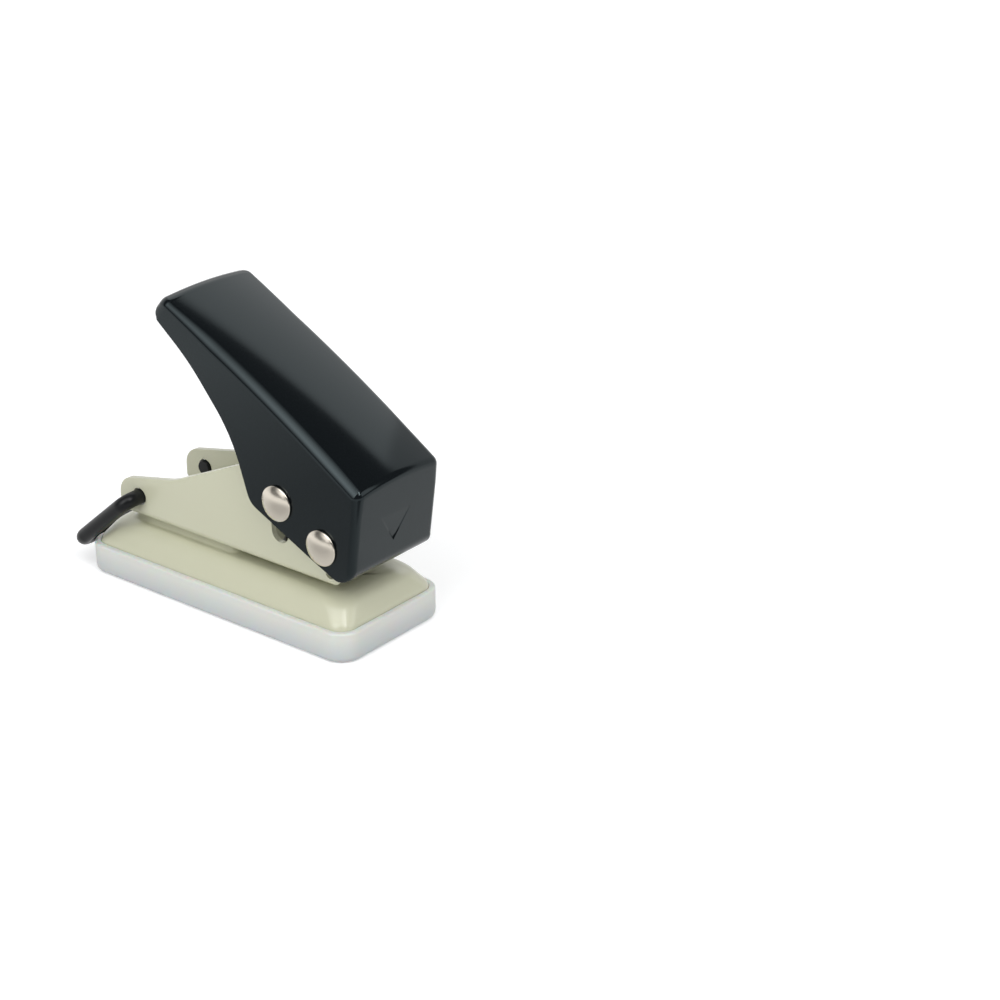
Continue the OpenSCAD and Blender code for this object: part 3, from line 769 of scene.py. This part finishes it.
def bail_path():
    droop = Matrix.Rotation(-math.radians(BAIL_DROOP), 3, "Y")
    half, bend, ear, arm = BAIL_HALF, BAIL_BEND, EAR_BEND, BAIL_ARM
    flat = [Vector((0.0, -BAIL_END)), Vector((0.0, -BAIL_STRAIGHT))]
    flat += arc_points(Vector((-ear, -half + ear)), ear, 0, -math.pi / 2, 12)
    flat += [Vector((-arm * s, -half)) for s in (0.35, 0.5, 0.65)]
    flat += arc_points(Vector((-arm + bend, -half + bend)), bend, -math.pi / 2, -math.pi / 2, 10)
    flat += [Vector((-arm, 0.0))]
    flat += [Vector((p.x, -p.y)) for p in reversed(flat[:-1])]
    return [droop @ Vector((p.x, p.y, 0)) + Vector((BAIL.x, 0, BAIL.y)) for p in flat]


bail = tube("bail", bail_path(), WIRE_R, 28, 0.4)
shade(bail, 50)
dress(bail, WIRE, "bail", "black_wire", "lock_bail")


# Pins: a domed head on the near side, a domed cap on the far side


def head_profile():
    dome_r = (HEAD_R**2 + HEAD_DOME**2) / (2 * HEAD_DOME)
    edge, chamfer = 0.35, 0.12
    flat, dome_edge = HEAD_R - edge, HEAD_R - 0.42
    profile = [(0.05, 0.0), (HEAD_R - chamfer, 0.0), (HEAD_R, chamfer)]
    profile += [
        (flat + edge * math.cos(a), HEAD_RIM - edge + 0.1 + edge * math.sin(a))
        for a in (math.radians(d) for d in range(0, 80, 12))
    ]
    top = HEAD_RIM + HEAD_DOME - dome_r
    for k in range(1, 13):
        r = dome_edge * (1 - k / 12)
        profile.append((max(r, 0.02), top + math.sqrt(dome_r**2 - r * r)))
    return profile


def pin(name, x, z, body, pin_node, cap_node):
    near = Matrix.Translation((x, -HEAD_SEAT, z)) @ Matrix.Rotation(math.pi / 2, 4, "X")
    far = Matrix.Translation((x, HEAD_SEAT, z)) @ Matrix.Rotation(-math.pi / 2, 4, "X")
    end = -2 * HEAD_SEAT - 0.7
    shank = [(0.05, end), (PIN_R, end), (PIN_R, -0.02), (0.05, -0.02)]
    for label, place, node in (("head", near, pin_node), ("cap", far, cap_node)):
        piece = lathe(f"{name}_{label}", head_profile(), place)
        shade(piece, 50)
        dress(piece, NICKEL, body, "nickel", node)
    rod = lathe(f"{name}_shank", shank, near, 40)
    shade(rod)
    dress(rod, NICKEL, body, "nickel", pin_node)


pin("pivot", PIVOT.x, PIVOT.y, "base", "pivot_pin", "pivot_cap")
pin("drive", DRIVE_OPEN.x, DRIVE_OPEN.y, "lever", "drive_pin", "drive_cap")


# Return spring: a conical coil


def spring_path():
    turns, steps = 4, 36
    low, high = SPRING_LOW + SPRING_CLEAR, SPRING_HIGH - SPRING_CLEAR
    points = []
    for k in range(turns * steps + 1):
        t = k / (turns * steps)
        a = 2 * math.pi * turns * t
        r = SPRING_FOOT_R + (SPRING_TOP_R - SPRING_FOOT_R) * t
        points.append(Vector((CUTTER_X + r * math.cos(a), r * math.sin(a), low + (high - low) * t)))
    return points


spring = tube("spring", spring_path(), SPRING_WIRE_R, 14, 0.1)
shade(spring, 60)
dress(spring, SPRING_BLACK_AND_SHADE, "base", "spring_steel", "return_spring")
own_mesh(spring)


# Inner pieces keep their solids

for node, material in {
    "die_plate": DIE, "die_rivets": STEEL, "frame_rivets": STEEL, "guide_bush": BRASS, "cutter": DIE,
    "cutter_yoke": DARK, "spring_washer": DARK, "pivot_spacer": STEEL, "pivot_washers": WASHER,
}.items():
    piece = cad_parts[node]
    piece.data.materials.clear()
    piece.data.materials.append(material)


# Floor, backdrop, lights and camera


def seen_directly(nodes, links):
    """1 for rays from the camera, from a mirror or through plastic, else 0."""
    ray = nodes.new("ShaderNodeLightPath")
    kinds = ("Is Camera Ray", "Is Glossy Ray", "Is Transmission Ray")
    return join(nodes, links, "MAXIMUM", [ray.outputs[kind] for kind in kinds])


def distance_from(nodes, links, mid, place):
    away = nodes.new("ShaderNodeVectorMath")
    away.operation = "DISTANCE"
    away.inputs[1].default_value = mid
    links.new(place, away.inputs[0])
    return away.outputs["Value"]


# Mirrored, the floor is darker in front of the near side and at the near corner, where the camera stands:
# middle of each dark spot, distances from it and strengths there
MIRRORED_SPOTS = (
    ((-0.005, -0.09, 0), (0.03, 0.136), (0.5, 1.0)),
    ((0.13, -0.05, 0), (0.02, 0.045), (0.25, 1.0)),
)


def floor_material():
    """Pale floor that fades to the white background where it is seen, and keeps the shadow."""
    mat, nodes, links, bsdf = tree("floor")
    bsdf.inputs["Base Color"].default_value = (0.86, 0.86, 0.86, 1)
    bsdf.inputs["Roughness"].default_value = 0.9
    place = nodes.new("ShaderNodeNewGeometry").outputs["Position"]
    far = distance_from(nodes, links, (0, 0, 0), place)
    glow = nodes.new("ShaderNodeEmission")
    links.new(ramp(nodes, links, far, (0.25, 0.9), (0.38, 1.0)), glow.inputs["Strength"])
    add = nodes.new("ShaderNodeAddShader")
    mix = nodes.new("ShaderNodeMixShader")
    links.new(bsdf.outputs["BSDF"], add.inputs[0])
    links.new(glow.outputs["Emission"], add.inputs[1])
    links.new(seen_directly(nodes, links), mix.inputs["Fac"])
    links.new(bsdf.outputs["BSDF"], mix.inputs[1])
    links.new(add.outputs["Shader"], mix.inputs[2])

    shares = [
        ramp(nodes, links, distance_from(nodes, links, mid, place), span, ends)
        for mid, span, ends in MIRRORED_SPOTS
    ]
    mirrored = nodes.new("ShaderNodeEmission")
    links.new(join(nodes, links, "MULTIPLY", shares), mirrored.inputs["Strength"])
    last = nodes.new("ShaderNodeMixShader")
    links.new(nodes.new("ShaderNodeLightPath").outputs["Is Glossy Ray"], last.inputs["Fac"])
    links.new(mix.outputs["Shader"], last.inputs[1])
    links.new(mirrored.outputs["Emission"], last.inputs[2])
    links.new(last.outputs["Shader"], nodes["Material Output"].inputs["Surface"])
    return mat


floor_mesh = bpy.data.meshes.new("floor")
floor_mesh.from_pydata([(-3, -3, 0), (3, -3, 0), (3, 3, 0), (-3, 3, 0)], [], [(0, 1, 2, 3)])
floor_mesh.materials.append(floor_material())
floor = link("floor", floor_mesh)
floor.location.z = -0.00005

world = bpy.data.worlds.new("studio")
bpy.context.scene.world = world
world.use_nodes = True
wn, wl = world.node_tree.nodes, world.node_tree.links
background = wn["Background"]
background.inputs["Color"].default_value = (0.95, 0.97, 1.0, 1)
background.inputs["Strength"].default_value = 0.34

# The camera sees the room white. Mirrored, it is pale low on the far side, and dark above and behind
# the camera
white = wn.new("ShaderNodeBackground")
white.inputs["Color"].default_value = (1, 1, 1, 1)
direction = wn.new("ShaderNodeTexCoord")
towards = wn.new("ShaderNodeVectorMath")
towards.operation = "DOT_PRODUCT"
towards.inputs[1].default_value = (-0.593, 0.668, -0.449)
wl.new(direction.outputs["Generated"], towards.inputs[0])
fade = ramp(wn, wl, towards.outputs["Value"], (-0.01, 0.05), (0.12, 0.8), "SMOOTHSTEP")
lit = join(wn, wl, "MAXIMUM", [fade, wn.new("ShaderNodeLightPath").outputs["Is Camera Ray"]])
wl.new(lit, white.inputs["Strength"])
world_mix = wn.new("ShaderNodeMixShader")
wl.new(seen_directly(wn, wl), world_mix.inputs["Fac"])
wl.new(background.outputs["Background"], world_mix.inputs[1])
wl.new(white.outputs["Background"], world_mix.inputs[2])
wl.new(world_mix.outputs["Shader"], wn["World Output"].inputs["Surface"])


def area(name, place, target, size, power):
    """Flat light turned towards a point, which the camera doesn't see."""
    data = bpy.data.lights.new(name, "AREA")
    data.shape = "RECTANGLE"
    data.size, data.size_y = size
    data.energy = power
    obj = link(name, data)
    obj.visible_camera = False
    obj.location = place
    obj.rotation_euler = (Vector(target) - Vector(place)).to_track_quat("-Z", "Y").to_euler()
    return obj


def panel(name, out, along, distance, shift, size, power):
    """Flat light seen from the object in one direction, with its length laid along another."""
    lamp = area(name, (0, 0, 1), (0, 0, 0), size, power)
    out = Vector(out).normalized()
    along = Vector(along)
    along = (along - out * along.dot(out)).normalized()
    turned = Matrix((along, out.cross(along), out)).transposed().to_4x4()
    lamp.matrix_world = Matrix.Translation(Vector((0, 0, 0.05)) + out * distance + along * shift) @ turned
    return lamp


def grade(lamp):
    """Makes a panel brightest along one line, soft to both ends and weaker towards one side."""
    lamp.data.use_nodes = True
    nodes, links = lamp.data.node_tree.nodes, lamp.data.node_tree.links
    place = nodes.new("ShaderNodeSeparateXYZ")
    links.new(nodes.new("ShaderNodeNewGeometry").outputs["Parametric"], place.inputs[0])
    parts = [
        ramp(nodes, links, place.outputs["X"], (0.0, 0.37), (0.0, 1.0), "SMOOTHSTEP"),
        ramp(nodes, links, place.outputs["X"], (0.37, 0.72), (1.0, 0.3)),
        ramp(nodes, links, place.outputs["X"], (0.72, 1.0), (1.0, 0.3)),
        ramp(nodes, links, place.outputs["Y"], (0.35, 0.95), (1.0, 0.1)),
    ]
    links.new(join(nodes, links, "MULTIPLY", parts), nodes["Emission"].inputs["Strength"])


# Long light from low on the near side to high above, which shines along the lever's near edge
grade(panel("key", (-0.08, -0.741, 0.664), (0.385, 0.652, 0.653), 1.0, 0.325, (2.55, 0.8), 23.0))

# Small lights for the base's near front corner and the front faces
area("corner", (0.59, -0.24, 0.77), (0.04, -0.013, 0.012), (0.22, 0.56), 2.3)
area("side", (0.85, 0.30, 0.5), (0, 0, 0.03), (0.6, 0.6), 1.4)

# Softbox beyond the object, whose near edge ends the light on the lever's back
panel("softbox", (-0.159, 0.757, 0.634), (0.805, 0.473, -0.358), 0.9, -0.22, (0.86, 0.64), 1.0)

camera_data = bpy.data.cameras.new("camera")
camera_data.sensor_width = 36.0
camera_data.lens = 82.8
camera_data.clip_start = 0.01
camera = link("camera", camera_data)
right, up, back = (0.7859, 0.6184, 0), (-0.2542, 0.3230, 0.9116), (0.5637, -0.7164, 0.4110)
facing = Matrix((right, up, back)).transposed().to_4x4()
camera.matrix_world = Matrix.Translation((0.3745, -0.3776, 0.2636)) @ facing
bpy.context.scene.camera = camera
bpy.context.scene.view_settings.view_transform = "Standard"

bpy.context.view_layer.update()
